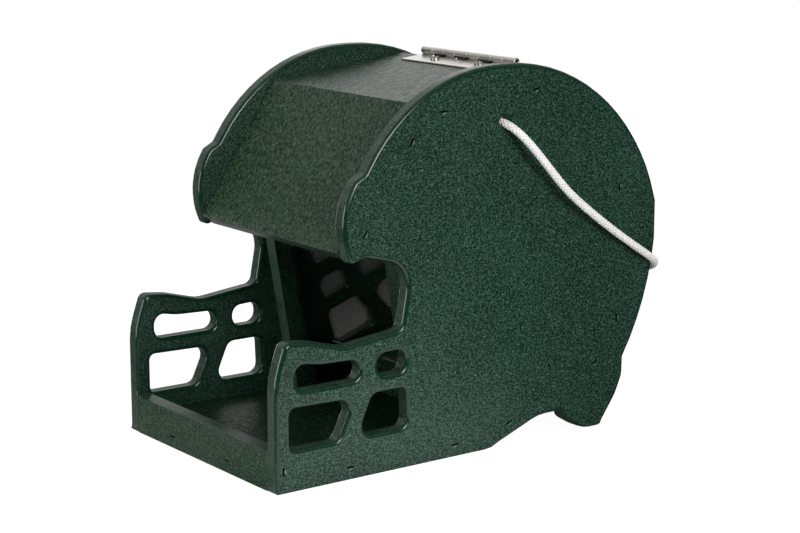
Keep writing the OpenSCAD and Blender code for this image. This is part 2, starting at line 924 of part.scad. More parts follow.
// A knot drawn up against the inside of the left plate, with a waist between its two turns
knot_waist = 0.82;
module rope_knot() {
    r = knot_d / 2;
    color(rope_white)
        at_profile([rope_u, rope_z])
            translate([plate_in - rest_gap, 0, 0])
                rotate([0, -90, 0])
                    rotate_extrude()
                        polygon(rounded([[0, 0], [r, 0, r / 2], [r * knot_waist, knot_l / 2, r / 4],
                                         [r, knot_l, r / 2], [0, knot_l]]));
}

module left_rope_knot() {
    rope_knot();
}

module right_rope_knot() {
    mirror([1, 0, 0])
        rope_knot();
}

left_side_plate();
right_side_plate();
tray_lip();
tray_floor();
feed_ramp();
back_panel();
forehead_panel();
roof_panel();
lid_panel();
seed_window();
left_window_batten();
right_window_batten();
roof_hinge_leaf();
lid_hinge_leaf();
hinge_pin();
roof_hinge_screws();
lid_hinge_screws();
left_plate_staples();
right_plate_staples();
lip_staples();
left_batten_staples();
right_batten_staples();
hanging_rope();
left_rope_knot();
right_rope_knot();
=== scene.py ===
import math

import bmesh
import bpy
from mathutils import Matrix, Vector


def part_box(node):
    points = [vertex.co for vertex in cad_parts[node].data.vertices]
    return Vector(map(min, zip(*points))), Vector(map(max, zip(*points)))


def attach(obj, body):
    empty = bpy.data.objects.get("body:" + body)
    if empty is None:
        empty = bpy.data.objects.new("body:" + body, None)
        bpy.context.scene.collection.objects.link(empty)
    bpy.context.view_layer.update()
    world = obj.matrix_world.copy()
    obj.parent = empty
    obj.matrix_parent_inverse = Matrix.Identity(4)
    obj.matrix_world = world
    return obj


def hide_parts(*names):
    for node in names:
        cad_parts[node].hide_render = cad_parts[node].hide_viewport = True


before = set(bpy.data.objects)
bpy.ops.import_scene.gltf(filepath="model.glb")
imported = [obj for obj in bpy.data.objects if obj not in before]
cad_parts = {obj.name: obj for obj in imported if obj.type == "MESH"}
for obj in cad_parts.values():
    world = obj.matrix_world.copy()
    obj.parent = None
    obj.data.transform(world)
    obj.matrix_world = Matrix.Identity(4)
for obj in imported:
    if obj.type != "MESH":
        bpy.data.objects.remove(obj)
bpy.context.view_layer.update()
scene = bpy.context.scene
scene.view_settings.view_transform = "Standard"  # keeps the white studio white


# Camera at the photograph's place
cameraView = {
    "place": (1.27585, -0.93786, 0.4543),
    "backward": (0.78746, -0.58225, 0.20221),
    "lens": 91.34,  # mm, on the sensor below
    "sensor": 36,
}
bpy.ops.object.select_all(action="DESELECT")
bpy.ops.object.camera_add(location=cameraView["place"])
camera = bpy.context.object
camera.name = "photoCamera"
camera.data.lens = cameraView["lens"]
camera.data.sensor_width = cameraView["sensor"]
forward = -Vector(cameraView["backward"])
camera.rotation_euler = forward.to_track_quat("-Z", "Y").to_euler()
scene.camera = camera
print("camera placed")


class Wire:
    # one output socket of a shader; sums on it add Math nodes
    def __init__(self, tree, socket=None):
        self.tree = tree
        self.socket = socket

    def add(self, kind, settings=None, sockets=None, out=0):
        # any other node: its settings first, then the values or links of its sockets
        made = self.tree.nodes.new(kind)
        for key, value in (settings or {}).items():
            if key == "stops":
                ramp = made.color_ramp
                while len(ramp.elements) < len(value):
                    ramp.elements.new(0.5)
                for stop, (place, colour) in zip(ramp.elements, value):
                    stop.position = place
                    stop.color = colour
            else:
                setattr(made, key, value)
        for key, value in (sockets or {}).items():
            if isinstance(value, Wire):
                self.tree.links.new(value.socket, made.inputs[key])
            else:
                made.inputs[key].default_value = value
        return Wire(self.tree, made.outputs[out] if out is not None else None)

    def sums(self, operation, first, second):
        return self.add("ShaderNodeMath", {"operation": operation}, {0: first, 1: second})

    def __add__(self, other):
        return self.sums("ADD", self, other)

    def __sub__(self, other):
        return self.sums("SUBTRACT", self, other)

    def __rsub__(self, other):
        return self.sums("SUBTRACT", other, self)

    def __mul__(self, other):
        return self.sums("MULTIPLY", self, other)

    def __pow__(self, other):
        return self.sums("POWER", self, other)

    def __rpow__(self, other):
        return self.sums("POWER", other, self)

    __radd__ = __add__
    __rmul__ = __mul__


def paint(name, steady, recipe):
    # steady values go straight to the shader, the recipe gives what varies
    material = bpy.data.materials.new(name)
    material.use_nodes = True
    material.node_tree.nodes.clear()
    start = Wire(material.node_tree)
    where = start.add("ShaderNodeTexCoord", out="Object")
    surface = start.add("ShaderNodeBsdfPrincipled", {}, {**steady, **recipe(where)})
    start.add("ShaderNodeOutputMaterial", {}, {"Surface": surface}, out=None)
    return material


def mixed(share, first, second):
    # each end is a colour or a wire that carries one
    ends = [(*end, 1) if isinstance(end, tuple) else end for end in (first, second)]
    return share.add("ShaderNodeMix", {"data_type": "RGBA", "clamp_factor": True},
                     {0: share, 6: ends[0], 7: ends[1]}, out=2)


def noise(where, scale, detail=2.0, rough=0.5):
    return where.add("ShaderNodeTexNoise", {}, {
        "Vector": where, "Scale": scale, "Detail": detail, "Roughness": rough})


def stretched(where, scale):
    return where.add("ShaderNodeMapping", {}, {"Vector": where, "Scale": scale})


def component(where, letter):
    return where.add("ShaderNodeSeparateXYZ", {}, {"Vector": where}, out=letter)


def bumped(height, strength, distance):
    return height.add("ShaderNodeBump", {}, {
        "Height": height, "Strength": strength, "Distance": distance})


# Pebbled faces of the green sheet; the panels' grain runs down the slope
# The pale grey grains and the pale flecks on the highest spots are partly the sheet's own pebble
# and partly painted highlight: glints of light on the pebbles painted into the colour
plateFinish = {
    "gap": (0.0005, 0.0125, 0.0055),
    "grain": (0.0320, 0.0770, 0.0520),
    "glintFleck": (0.1000, 0.1600, 0.1300),
    "pebble": (600, 500, 720),  # grains per metre each way
    "bump": 0.0008,
    "gloss": 0.22,
}
panelFinish = {
    "gap": (0.0006, 0.0130, 0.0038),
    "grain": (0.0430, 0.0870, 0.0490),
    "glintFleck": (0.1300, 0.1700, 0.1250),
    "pebble": (620, 340, 340),
    "bump": 0.0010,
    "gloss": 0.27,
}
lipFinish = {
    **panelFinish,
    "gap": (0.0020, 0.0220, 0.0080),
    "grain": (0.0420, 0.0820, 0.0490),
    "pebble": (700, 620, 700),
}
# The tray floor's grains are darker than the panels': painted shade for the floor deep inside
# the hopper
trayShadeFinish = {
    **panelFinish,
    "grain": (0.0150, 0.0340, 0.0190),
    "glintFleck": (0.0500, 0.0720, 0.0500),
    "pebble": (260, 620, 620),
    "bump": 0.0004,
    "gloss": 0.32,
}
roofFinish = {**panelFinish, "pebble": (640, 95, 300)}  # long streaks towards the hinge
# Inner faces of the plates and the battens get darker grains: painted shade, for the lesser
# light inside the hopper
insideShadeFinish = {
    **plateFinish,
    "grain": (0.0225, 0.0580, 0.0380),
    "glintFleck": (0.0650, 0.1000, 0.0800),
}
pebbles = {
    "fineSize": 2.1,  # smaller grains, times the pebbles each way
    "fineShare": 0.4,
    "contrast": 7.5,
    "lean": 0.4,  # towards grain, away from gap
    "driftSize": 16,  # slow change over a sheet
    "drift": 0.5,
    "fleckSize": 1.2,
    "fleckFrom": 0.62,  # only the highest spots get the painted glint
    "fleckEdge": 5,
    "polish": 0.7,  # high grains are glossier than the gaps
    "fineBump": 0.25,
}


def sheetRecipe(finish):
    def recipe(where):
        place = stretched(where, finish["pebble"])
        pebble = noise(place, 1, rough=0.55)
        fine = noise(place, pebbles["fineSize"])
        drift = noise(where, pebbles["driftSize"])
        both = pebble * (1 - pebbles["fineShare"]) + fine * pebbles["fineShare"]
        grain = (both - 0.5) * pebbles["contrast"] + pebbles["lean"]
        body = mixed(grain + (drift - 0.5) * pebbles["drift"], finish["gap"], finish["grain"])
        spot = noise(place, pebbles["fleckSize"], 1.0, 0.4)
        glintFleck = (spot - pebbles["fleckFrom"]) * pebbles["fleckEdge"]
        height = pebble * (1 - pebbles["fineBump"]) + fine * pebbles["fineBump"]
        # the flecks are painted glints on the highest spots
        return {"Base Color": mixed(glintFleck, body, finish["glintFleck"]),
                "Roughness": finish["gloss"] + (0.5 - pebble) * pebbles["polish"],
                "Normal": bumped(height, 1.0, finish["bump"])}
    return recipe


# Sawn edges of the side plates and their smooth roundovers; the roundovers are darker, partly
# their own smooth green and partly painted shade for the dark band along them
edgeFinish = {
    "dark": (0.0060, 0.0240, 0.0130),
    "light": (0.0420, 0.0760, 0.0530),
    "gloss": 0.3,
    "ripple": 760,
    "across": 0.45,  # ripples are longer across the edge
    "contrast": 3.5,
    "driftSize": 60,
    "bump": 0.3,
    "deep": 0.00015,
}
battenFinish = {
    **edgeFinish,
    "dark": (0.0220, 0.0520, 0.0370),
    "light": (0.0560, 0.0980, 0.0750),
}
roundShadeFinish = {
    **edgeFinish,
    "dark": (0.0020, 0.0170, 0.0080),
    "light": (0.0060, 0.0320, 0.0170),
    "gloss": 0.15,
    "ripple": 500,
    "bump": 0.12,
}


def edgeRecipe(finish):
    def recipe(where):
        ripple = noise(stretched(where, (finish["across"], 1, 1)), finish["ripple"])
        drift = noise(where, finish["driftSize"])
        share = (ripple - 0.5) * finish["contrast"] + drift
        return {"Base Color": mixed(share, finish["dark"], finish["light"]),
                "Roughness": finish["gloss"] + (drift - 0.5) * 0.2,
                "Normal": bumped(ripple, finish["bump"], finish["deep"])}
    return recipe


# Clear seed window with faint rubbing
windowFinish = {
    "tint": (0.90, 0.94, 0.92),
    "rubbed": (0.97, 0.98, 0.97),
    "rubbing": 55,
    "down": 0.25,  # the seed rubs it downwards
    "gloss": 0.02,
    "haze": 0.06,
}


def windowRecipe(where):
    place = stretched(where, (1, 1, windowFinish["down"]))
    rub = noise(place, windowFinish["rubbing"], 5.0, 0.65)
    return {"Base Color": mixed(rub, windowFinish["tint"], windowFinish["rubbed"]),
            "Roughness": windowFinish["gloss"] + (rub - 0.45) * windowFinish["haze"]}


# Zinc plated hinge and screws
steelFinish = {"dark": (0.52, 0.50, 0.47), "light": (0.86, 0.82, 0.78), "gloss": 0.32}
screwFinish = {"dark": (0.16, 0.15, 0.14), "light": (0.46, 0.43, 0.40), "gloss": 0.36}
# The pin is painted near black: painted shade for its ends, deep in the barrel's bore
pinShadeFinish = {"dark": (0.02, 0.02, 0.02), "light": (0.07, 0.068, 0.066), "gloss": 0.5}
plating = {
    "brush": 1600,
    "along": 0.05,  # brush marks run front to back
    "marks": 1.6,
    "bloomSize": 120,  # clouds in the zinc
    "bloom": 0.6,
    "deep": 0.0001,
}


def steelRecipe(finish):
    def recipe(where):
        place = stretched(where, (1, plating["along"], plating["along"]))
        brush = noise(place, plating["brush"], 3.0, 0.6)
        bloom = noise(where, plating["bloomSize"], 3.0, 0.6)
        share = (brush - 0.5) * plating["marks"] + 0.2 + bloom * plating["bloom"]
        return {"Base Color": mixed(share, finish["dark"], finish["light"]),
                "Roughness": finish["gloss"] + (bloom - 0.5) * 0.3 + (brush - 0.5) * 0.15,
                "Normal": bumped(brush, 0.3, plating["deep"])}
    return recipe


# Dull wire of the staples and the walls of their slots, both painted near black as painted shade
# in the deep slots, and pale slivers beside them
wireShadeFinish = {"dark": (0.002, 0.002, 0.002), "light": (0.008, 0.008, 0.008)}
slotShadeFinish = {"dark": (0.0004, 0.0012, 0.0008), "light": (0.0015, 0.0040, 0.0028)}
burrFinish = {"dark": (0.10, 0.12, 0.11), "light": (0.30, 0.32, 0.30)}
dull = {"size": 900, "gloss": 0.5, "uneven": 0.4}


def dullRecipe(finish):
    def recipe(where):
        cloud = noise(where, dull["size"], 3.0, 0.6)
        return {"Base Color": mixed(cloud, finish["dark"], finish["light"]),
                "Roughness": dull["gloss"] + (cloud - 0.5) * dull["uneven"]}
    return recipe


# Braided white yarn; the grooves between the strands are darker, a painted shade
yarnFinish = {
    "groove": (0.34, 0.33, 0.315),
    "crown": (0.90, 0.89, 0.87),
    "fibreSize": 2600,
    "fibre": 0.3,
    "unevenSize": 620,
    "uneven": 1.3,
    "deep": 0.00015,
}


def yarnRecipe(where):
    high = where.add("ShaderNodeAttribute", {"attribute_name": "yarn"}, out=2)
    fibre = noise(where, yarnFinish["fibreSize"], rough=0.6)
    uneven = noise(where, yarnFinish["unevenSize"], rough=0.6)
    share = (high ** 0.5 + (fibre - 0.5) * yarnFinish["fibre"]
             + (uneven - 0.5) * yarnFinish["uneven"])
    return {"Base Color": mixed(share, yarnFinish["groove"], yarnFinish["crown"]),
            "Roughness": 0.85 - fibre * 0.15,
            "Normal": bumped(fibre, 0.3, yarnFinish["deep"])}


plateFace = paint("pebbledPlate", {"Specular IOR Level": 0.24}, sheetRecipe(plateFinish))
plateEdge = paint("sawnEdge", {}, edgeRecipe(edgeFinish))
plateRoundShaded = paint("routedRoundShaded", {"Specular IOR Level": 0.36}, edgeRecipe(roundShadeFinish))
panelSheet = paint("pebbledPanel", {"Specular IOR Level": 0.25}, sheetRecipe(panelFinish))
roofSheet = paint("streakedRoof", {"Specular IOR Level": 0.25}, sheetRecipe(roofFinish))
lipSheet = paint("pebbledLip", {"Specular IOR Level": 0.25}, sheetRecipe(lipFinish))
traySheet = paint("wornShadedTray", {"Specular IOR Level": 0.1}, sheetRecipe(trayShadeFinish))
plateInsideShaded = paint("insidePlateShaded", {"Specular IOR Level": 0.22}, sheetRecipe(insideShadeFinish))
battenStrip = paint("sawnStrip", {}, edgeRecipe(battenFinish))
clearSheet = paint("clearWindow", {"Transmission Weight": 1.0, "IOR": 1.49}, windowRecipe)
hingeSteel = paint("zincSteel", {"Metallic": 1.0}, steelRecipe(steelFinish))
screwSteel = paint("screwSteel", {"Metallic": 1.0}, steelRecipe(screwFinish))
pinSteelShaded = paint("pinSteelShaded", {"Metallic": 1.0}, steelRecipe(pinShadeFinish))
stapleWireShaded = paint("stapleWireShaded", {"Metallic": 1.0}, dullRecipe(wireShadeFinish))
slotPaintedShade = paint("slotPaintedShade", {"Specular IOR Level": 0.1}, dullRecipe(slotShadeFinish))
paleBurr = paint("paleBurr", {}, dullRecipe(burrFinish))
ropeYarn = paint("braidedYarn", {}, yarnRecipe)
print("finishes mixed")


# Braided rope, from the left hole round the back to the right hole
rope = {
    "half": [  # x, from the chin backwards, height; mm
        (93.95, 207.5, 253), (100, 207.8, 252.6), (106, 208.1, 252.2),
        (110.65, 208.7, 251.2), (114.65, 210.2, 249), (117.45, 212.4, 245.8),
        (118.85, 215.3, 242.4), (119.55, 219.8, 238.2), (119.95, 227.4, 230.4),
        (119.95, 238.6, 218.4), (119.55, 250.4, 206.2), (118.95, 261.8, 195.2),
        (117.15, 285, 178), (114.95, 312, 159.8), (113.15, 338, 143.5),
        (112.55, 353, 134.3), (111.35, 361.3, 129.4), (108.75, 365.7, 126.8),
        (103.95, 368.8, 124), (89.95, 373, 118.8), (47.95, 379.6, 106.4)],
    "middle": (0, 381.4, 102),
    "chin": 183,  # from the chin to the frame's origin
    "diameter": 0.0063,
    "strands": 5,  # each way round
    "lay": 0.0170,  # one turn of a strand
    "wave": 0.00026,
    "groove": 0.0007,
    "plump": 0.95,  # 1 gives each strand a half round
    "shadeFrom": 0.9,  # share of the groove that the yarn's shade spans
    "sides": 40,
    "step": 0.00045,
    "ease": 22,  # points each way that a bend is spread over
    "easings": 2,
    "pathEvery": 8,  # points of the line that the cord's path keeps
}
spanParts = 24  # of a curve, between two points of its route
strandOffset = 1000  # keeps the count of strands above zero


def along(points, step):
    # an even, smooth line through the points
    fine = []
    for k in range(len(points) - 1):
        before, start, end, after = (
            points[min(max(k + d, 0), len(points) - 1)] for d in (-1, 0, 1, 2))
        for part in range(spanParts):
            t = part / spanParts
            fine.append(0.5 * (2 * start + (end - before) * t
                               + (2 * before - 5 * start + 4 * end - after) * t * t
                               + (3 * start - before - 3 * end + after) * t ** 3))
    fine.append(points[-1])
    total = sum((b - a).length for a, b in zip(fine, fine[1:]))
    count = max(2, round(total / step))
    even, gone, k = [fine[0]], 0.0, 0
    for m in range(1, count):
        wanted = total * m / count
        while gone + (fine[k + 1] - fine[k]).length < wanted:
            gone += (fine[k + 1] - fine[k]).length
            k += 1
        even.append(fine[k].lerp(fine[k + 1], (wanted - gone) / (fine[k + 1] - fine[k]).length))
    even.append(fine[-1])
    return even


def strandHeight(across):
    # of a strand's round back, from 0 at its middle downwards
    return rope["groove"] * (math.sqrt(1 - rope["plump"] * (2 * across - 1) ** 2) - 1)


def braid(name, line, diameter, sides):
    # a tube round the line, with strands that cross over and under each other
    half = diameter / 2
    points, grooveShadeHeights, faces = [], [], []
    heading = (line[1] - line[0]).normalized()
    side = heading.orthogonal().normalized()
    gone = 0.0
    for k, centre in enumerate(line):
        ahead = (line[min(k + 1, len(line) - 1)] - line[max(k - 1, 0)]).normalized()
        side = heading.rotation_difference(ahead) @ side
        side = (side - ahead * side.dot(ahead)).normalized()
        heading = ahead
        gone += (centre - line[k - 1]).length if k else 0.0
        other = ahead.cross(side)
        for j in range(sides):
            turn = j / sides
            a = rope["strands"] * (turn + gone / rope["lay"]) + strandOffset
            b = rope["strands"] * (turn - gone / rope["lay"]) + strandOffset
            i, m = math.floor(a), math.floor(b)
            waveA = rope["wave"] * math.sin(math.pi * (b + i))
            waveB = -rope["wave"] * math.sin(math.pi * (a + m))
            height = max(waveA + strandHeight(a - i), waveB + strandHeight(b - m)) - rope["wave"]
            angle = 2 * math.pi * turn
            out = side * math.cos(angle) + other * math.sin(angle)
            points.append(centre + out * (half + height))
            # painted shade for the grooves: 0 deep in a groove, 1 on a strand's crown
            grooveShadeHeights.append(max(0.0, 1 + height / (rope["groove"] * rope["shadeFrom"])))
    for k in range(len(line) - 1):
        for j in range(sides):
            n = (j + 1) % sides
            near, far = k * sides, (k + 1) * sides
            faces.append((near + j, near + n, far + n, far + j))
    faces.append(tuple(reversed(range(sides))))
    faces.append(tuple((len(line) - 1) * sides + j for j in range(sides)))
    mesh = bpy.data.meshes.new(name)
    mesh.from_pydata(points, [], faces)
    mesh.attributes.new("yarn", "FLOAT", "POINT").data.foreach_set("value", grooveShadeHeights)
    mesh.materials.append(ropeYarn)
    mesh.shade_smooth()
    piece = bpy.data.objects.new(name, mesh)
    scene.collection.objects.link(piece)
    return piece


def mirrored(line):
    return [Vector((-p.x, p.y, p.z)) for p in line]


def softened(line):
    # each point becomes the mean of its neighbours, the ends stay
    soft = []
    for k in range(len(line)):
        reach = min(rope["ease"], k, len(line) - 1 - k)
        soft.append(sum(line[k - reach:k + reach + 1], Vector()) / (2 * reach + 1))
    return soft


def inFrame(point):
    # from the rope's millimetres to the frame's metres
    x, back, up = point
    return Vector((x, back - rope["chin"], up)) / 1000


halfRoute = [inFrame(point) for point in rope["half"]]
route = halfRoute + [inFrame(rope["middle"])] + mirrored(reversed(halfRoute))
ropeLine = along(route, rope["step"])
for easing in range(rope["easings"]):
    ropeLine = softened(ropeLine)
ropeLength = sum((b - a).length for a, b in zip(ropeLine, ropeLine[1:]))
hangingRope = braid("braidedRope", ropeLine, rope["diameter"], rope["sides"])
print("rope braided,", round(ropeLength, 4), "m")

# Overhand knots that stop the rope inside the plates
knot = {
    "across": 0.0055,
    "deep": 0.0024,
    "yarn": 0.0047,  # pulled thinner than the rope
    "sides": 24,
    "points": 60,
    "gap": 0.04,  # of a whole turn, at each end
    "behind": 0.0048,  # its middle, from the plate
    "entry": 0.0006,  # into the plate's hole
    "tail": (0.00856, 0.0012, 0.0015),  # its end, from the middle
    "step": 0.0005,
}
low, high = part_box("left_rope_knot")
knotMiddle = Vector((high[0] - knot["behind"], (low[1] + high[1]) / 2, (low[2] + high[2]) / 2))
turns = []
for k in range(knot["points"] + 1):
    t = 2 * math.pi * (knot["gap"] + (1 - 2 * knot["gap"]) * k / knot["points"])
    turns.append(knotMiddle + Vector((
        knot["deep"] * math.sin(3 * t),
        knot["across"] / 3 * (math.sin(t) + 2 * math.sin(2 * t)),
        knot["across"] / 3 * (math.cos(t) - 2 * math.cos(2 * t)))))
entry = Vector((high[0] + knot["entry"], knotMiddle.y, knotMiddle.z))
knotLine = along([entry, *turns, knotMiddle - Vector(knot["tail"])], knot["step"])
leftKnot = braid("leftKnot", knotLine, knot["yarn"], knot["sides"])
rightKnot = braid("rightKnot", mirrored(knotLine), knot["yarn"], knot["sides"])
for piece, node in (
        (hangingRope, "hanging_rope"),
        (leftKnot, "left_rope_knot"),
        (rightKnot, "right_rope_knot")):
    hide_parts(node)
    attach(piece, "housing")
ropePath = [tuple(p) for p in ropeLine[::rope["pathEvery"]]] + [tuple(ropeLine[-1])]
print("knots tied")

# Copies of solids, for pieces that get softer edges
solidCopy = {
    "weld": 0.00001,
    "flat": 0.05,  # degrees between triangles of one face
    "smooth": 38,  # sharper turns stay edges
}


def copied(node, name, *finishes):
    # a copy of a solid, with its loose triangles joined into flat faces
    bpy.ops.object.select_all(action="DESELECT")
    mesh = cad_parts[node].data.copy()
    mesh.name = name
    mesh.materials.clear()
    for finish in finishes:
        mesh.materials.append(finish)
    piece = bpy.data.objects.new(name, mesh)
    scene.collection.objects.link(piece)
    piece.select_set(True)
    bpy.context.view_layer.objects.active = piece
    bpy.ops.object.mode_set(mode="EDIT")
    bpy.ops.mesh.select_mode(type="EDGE")
    bpy.ops.mesh.select_all(action="SELECT")
    bpy.ops.mesh.remove_doubles(threshold=solidCopy["weld"])
    bpy.ops.mesh.dissolve_limited(angle_limit=math.radians(solidCopy["flat"]))
    bpy.ops.mesh.select_all(action="DESELECT")
    return piece


def shaded(piece):
    # flat faces stay flat, rounds run smooth
    bpy.ops.object.mode_set(mode="OBJECT")
    bpy.ops.object.shade_smooth_by_angle(angle=math.radians(solidCopy["smooth"]))
    even = piece.modifiers.new("evenShading", "WEIGHTED_NORMAL")
    even.keep_sharp = True
    even.weight = 100
    bpy.ops.object.modifier_apply(modifier=even.name)


def easedEdges(piece, edges, width, steps):
    drawing = bmesh.from_edit_mesh(piece.data)
    for edge in edges(drawing):
        edge.select = True
    drawing.select_flush_mode()
    bmesh.update_edit_mesh(piece.data)
    bpy.ops.mesh.bevel(offset=width, segments=steps, profile=0.5, affect="EDGES",
                       clamp_overlap=False)
    shaded(piece)


# Side plates with a routed round on every edge, fading out towards the flat feet
sidePlate = {
    "round": 0.003,
    "steps": 5,
    "sawnSteps": 1,  # of the round that still show saw marks
    "smallest": 0.007,  # slots below this stay sharp
    "fade": 0.003,
    "faded": 0.04,  # share of the round that is left at the feet
    "sharpest": 0.35,  # limits how far a tight corner is pulled in
    "lipTop": 0.0298,  # inside, the front edges are round above the tray lip only
    "lipBack": -0.17,
    "longEdge": 0.01,  # low edges above this get more corners
    "spacing": 0.0025,  # between corners near the feet and the lip
    "flat": 0.0001,  # how far a face may be off the plate's level
}
plateMaterials = (plateFace, plateEdge, plateRoundShaded, slotPaintedShade, plateInsideShaded)
faceSlot, edgeSlot, shadedRoundSlot, shadedHoleSlot, shadedInsideSlot = range(len(plateMaterials))
stapleSlots = []  # side and corners of each slot in the outer faces


def inOrder(rim):
    # the rim's edges as closed chains of corners
    left, chains = dict.fromkeys(rim), []  # keeps their order from run to run
    while left:
        edge = next(iter(left))
        del left[edge]
        chain = [edge.verts[0], edge.verts[1]]
        while True:
            following = [e for e in chain[-1].link_edges if e in left]
            if not following:
                break
            del left[following[0]]
            chain.append(following[0].other_vert(chain[-1]))
        chains.append(chain[:-1])
    return chains


def closed(drawing, ring):
    return [drawing.edges.get((ring[k], ring[(k + 1) % len(ring)])) for k in range(len(ring))]


def routed(drawing, side):
    # replaces one face of a plate by its roundover and a clean flat
    flat = [f for f in drawing.faces if f.normal.x * side > 0.99]
    level = max(v.co.x * side for f in flat for v in f.verts)
    flat = [f for f in flat if min(v.co.x * side for v in f.verts) > level - sidePlate["flat"]]
    for edge in [e for f in flat for e in f.edges]:
        if (edge.is_valid and edge.calc_length() > sidePlate["longEdge"]
                and min(v.co.z for v in edge.verts) < sidePlate["lipTop"]):
            cuts = int(edge.calc_length() / sidePlate["spacing"])
            bmesh.ops.bisect_edges(drawing, edges=[edge], cuts=cuts)
    rim = [e for e in drawing.edges
           if sum(f in flat for f in e.link_faces) == 1 and len(e.link_faces) == 2]
    outward = {e: next(f.normal.copy() for f in e.link_faces if f not in flat) for e in rim}
    bmesh.ops.delete(drawing, geom=flat, context="FACES_ONLY")
    seams = [e for e in drawing.edges if not e.link_faces]
    bmesh.ops.delete(drawing, geom=seams, context="EDGES")
    border = []
    for chain in inOrder(rim):
        spans = [c.co for c in chain]
        size = max(max(c[axis] for c in spans) - min(c[axis] for c in spans) for axis in (1, 2))
        around = closed(drawing, chain)
        if size < sidePlate["smallest"]:
            border += around
            for edge in around:
                # the slot's walls get the near-black painted shade
                edge.link_faces[0].material_index = shadedHoleSlot
            if level > 0:
                stapleSlots.append((side, [c.co.copy() for c in chain]))
            continue
        rings = [chain]
        inward = []
        for k in range(len(chain)):
            one, two = -outward[around[k - 1]], -outward[around[k]]
            inward.append((one + two) / max(sidePlate["sharpest"], 1 + one.dot(two)))
        radii = []
        for corner in chain:
            foot = sidePlate["lipTop"] if level < 0 and corner.co.y < sidePlate["lipBack"] else 0
            t = min(1.0, max(0.0, (corner.co.z - foot) / sidePlate["fade"]))
            share = sidePlate["faded"] + (1 - sidePlate["faded"]) * t * t * (3 - 2 * t)
            radii.append(sidePlate["round"] * share)
        for step in range(1, sidePlate["steps"] + 1):
            turn = math.pi / 2 * step / sidePlate["steps"]
            ring = []
            for corner, way, radius in zip(chain, inward, radii):
                shift = way * radius * (1 - math.cos(turn))
                ring.append(drawing.verts.new((
                    side * (level - radius + radius * math.sin(turn)),
                    corner.co.y + shift.y, corner.co.z + shift.z)))
            rings.append(ring)
        for corner, radius in zip(chain, radii):
            corner.co.x = side * (level - radius)
        for step, (inner, outer) in enumerate(zip(rings, rings[1:])):
            for k in range(len(chain)):
                n = (k + 1) % len(chain)
                face = drawing.faces.new((inner[k], inner[n], outer[n], outer[k]))
                # the rest of the round gets the darker colour, partly painted shade
                face.material_index = edgeSlot if step < sidePlate["sawnSteps"] else shadedRoundSlot
        border += closed(drawing, rings[-1])
    filled = bmesh.ops.triangle_fill(drawing, use_beauty=True, edges=border, normal=(side, 0, 0))
    for face in filled["geom"]:
        if isinstance(face, bmesh.types.BMFace):
            # the inner face gets the darker grain, a painted shade
            face.material_index = shadedInsideSlot if level < 0 else faceSlot


for node, name in (("left_side_plate", "leftPlate"), ("right_side_plate", "rightPlate")):
    plate = copied(node, name, *plateMaterials)
    drawing = bmesh.from_edit_mesh(plate.data)
    for face in drawing.faces:
        face.material_index = edgeSlot
    for side in (1, -1):
        routed(drawing, side)
    bmesh.update_edit_mesh(plate.data)
    bpy.ops.mesh.select_all(action="SELECT")
    bpy.ops.mesh.normals_make_consistent(inside=False)
    shaded(plate)
    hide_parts(node)
    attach(plate, "housing")
print("plates rounded")

# Slivers of plastic that the staple gun pushed up beside each slot
burr = {
    "long": 0.0017,
    "wide": 0.00034,
    "high": 0.00025,
    "beside": 0.0003,
    "towards": (0, 0.6, -0.8),  # the side of the slot that it lies on
    "sunk": -0.2,  # where the sliver is cut off, of its height
    "smooth": 50,
}
bpy.ops.object.select_all(action="DESELECT")
bpy.ops.mesh.primitive_uv_sphere_add(segments=16, ring_count=8, radius=1)
sliver = bpy.context.object
bpy.ops.object.mode_set(mode="EDIT")
bpy.ops.mesh.select_all(action="SELECT")
bpy.ops.mesh.bisect(plane_co=(0, 0, burr["sunk"]), plane_no=(0, 0, 1), clear_inner=True,
                    use_fill=True)
bpy.ops.object.mode_set(mode="OBJECT")
bpy.ops.object.shade_smooth_by_angle(angle=math.radians(burr["smooth"]))
for side, name in ((1, "leftBurrs"), (-1, "rightBurrs")):
    row = []
    out = Vector((side, 0, 0))
    for chain in [chain for place, chain in stapleSlots if place == side]:
        middle = sum(chain, Vector()) / len(chain)
        end = max(chain, key=lambda c: (c - middle).length)
        run = (end - middle).normalized()
        across = run.cross(out)
        across = across if across.dot(Vector(burr["towards"])) > 0 else -across
        half = max(abs((c - middle).dot(across)) for c in chain)
        centre = middle + across * (half + burr["beside"])
        copy = bpy.data.objects.new(name, sliver.data.copy())
        scene.collection.objects.link(copy)
        for corner in copy.data.vertices:
            x, y, z = corner.co
            corner.co = (centre + run * x * burr["long"] + across * y * burr["wide"]
                         + out * z * burr["high"])
        row.append(copy)
    bpy.ops.object.select_all(action="DESELECT")
    for copy in row:
        copy.select_set(True)
    bpy.context.view_layer.objects.active = row[0]
    bpy.ops.object.join()
    bpy.ops.object.mode_set(mode="EDIT")
    bpy.ops.mesh.select_all(action="SELECT")
    bpy.ops.mesh.normals_make_consistent(inside=False)
    bpy.ops.object.mode_set(mode="OBJECT")
    row[0].data.materials.append(paleBurr)
    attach(row[0], "housing")
bpy.data.objects.remove(sliver)
print("slots marked")

# Panels, lid and battens with eased saw edges
panel = {
    "ease": 0.0005,
    "steps": 2,
    "shortest": 0.010,  # shorter edges stay sharp
    "turn": 25,  # degrees, flatter edges too
}


def sharper(drawing, turn):
    return [e for e in drawing.edges
            if len(e.link_faces) == 2 and e.calc_face_angle() > math.radians(turn)]


def sawEdges(drawing):
    return [e for e in sharper(drawing, panel["turn"]) if e.calc_length() > panel["shortest"]]


